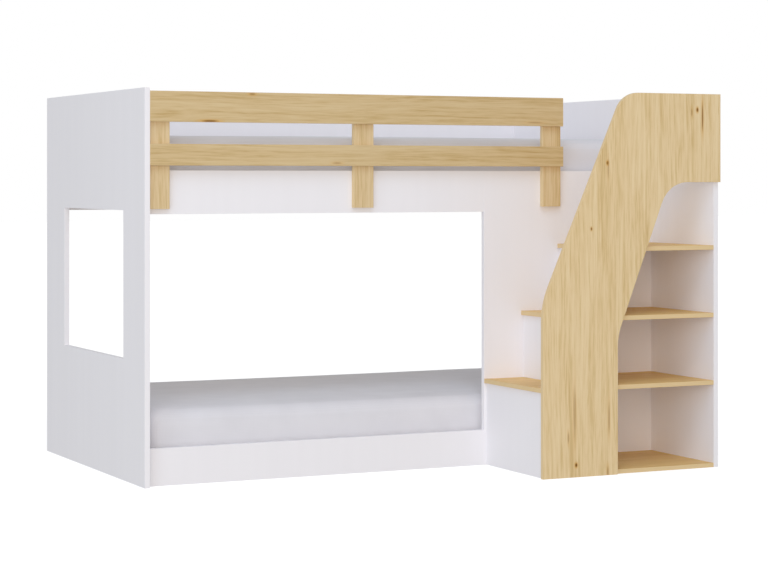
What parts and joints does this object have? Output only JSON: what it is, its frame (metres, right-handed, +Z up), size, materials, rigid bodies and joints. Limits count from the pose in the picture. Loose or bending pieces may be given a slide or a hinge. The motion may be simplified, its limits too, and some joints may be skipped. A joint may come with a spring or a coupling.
{
  "type": "bunk bed with stairs",
  "caption": "Low bunk bed with a storage staircase: panel ends, slatted bases with mattresses, a plank guard rail, and treads that run on as shelves behind a curved side panel.",
  "frame": {"origin": "on the floor, under the middle of the whole bed with its stairs", "axes": "+X along the bed towards the stair end, +Y from the stairs towards the wall, +Z up"},
  "size_m": [1.961, 1.445, 1.29],
  "materials": {
    "white_board": "satin",
    "oak_decor": "satin",
    "slat_pine": "matte",
    "mattress_ticking": "matte",
    "beech_dowel": "matte",
    "cam_zinc": "satin",
    "bolt_steel": "satin"
  },
  "bodies": {
    "bed_frame": {"bottom_board": "oak_decor", "cam_bolts": "bolt_steel", "cam_locks": "cam_zinc", "dowels": "beech_dowel", "front_stair_panel": "white_board", "guard_bolts": "bolt_steel", "left_end_panel": "white_board", "left_guard_post": "oak_decor", "lower_front_ledger": "slat_pine", "lower_front_rail": "white_board", "lower_guard_plank": "oak_decor", "lower_rear_ledger": "slat_pine", "lower_rear_rail": "white_board", "lower_slat_01": "slat_pine", "lower_slat_02": "slat_pine", "lower_slat_03": "slat_pine", "lower_slat_04": "slat_pine", "lower_slat_05": "slat_pine", "lower_slat_06": "slat_pine", "lower_slat_07": "slat_pine", "lower_slat_08": "slat_pine", "lower_slat_09": "slat_pine", "lower_slat_10": "slat_pine", "lower_slat_11": "slat_pine", "lower_slat_12": "slat_pine", "middle_guard_post": "oak_decor", "rear_guard_panel": "white_board", "right_end_panel": "white_board", "right_guard_post": "oak_decor", "riser_1": "white_board", "riser_2": "white_board", "riser_3": "white_board", "stair_right_panel": "white_board", "stair_side_panel": "oak_decor", "tread_1": "oak_decor", "tread_2": "oak_decor", "tread_3": "oak_decor", "upper_front_ledger": "slat_pine", "upper_front_rail": "white_board", "upper_guard_plank": "oak_decor", "upper_rear_ledger": "slat_pine", "upper_slat_01": "slat_pine", "upper_slat_02": "slat_pine", "upper_slat_03": "slat_pine", "upper_slat_04": "slat_pine", "upper_slat_05": "slat_pine", "upper_slat_06": "slat_pine", "upper_slat_07": "slat_pine", "upper_slat_08": "slat_pine", "upper_slat_09": "slat_pine", "upper_slat_10": "slat_pine", "upper_slat_11": "slat_pine", "upper_slat_12": "slat_pine"},
    "upper_mattress": {"upper_mattress": "mattress_ticking"},
    "lower_mattress": {"lower_mattress": "mattress_ticking"}
  },
  "joints": [
    {"name": "upper_mattress_lift", "type": "slide", "parent": "bed_frame", "child": "upper_mattress", "axis": [0, 0, 1], "range_m": [0, 0.34]},
    {"name": "lower_mattress_lift", "type": "slide", "parent": "bed_frame", "child": "lower_mattress", "axis": [0, 0, 1], "range_m": [0, 0.12]}
  ]
}
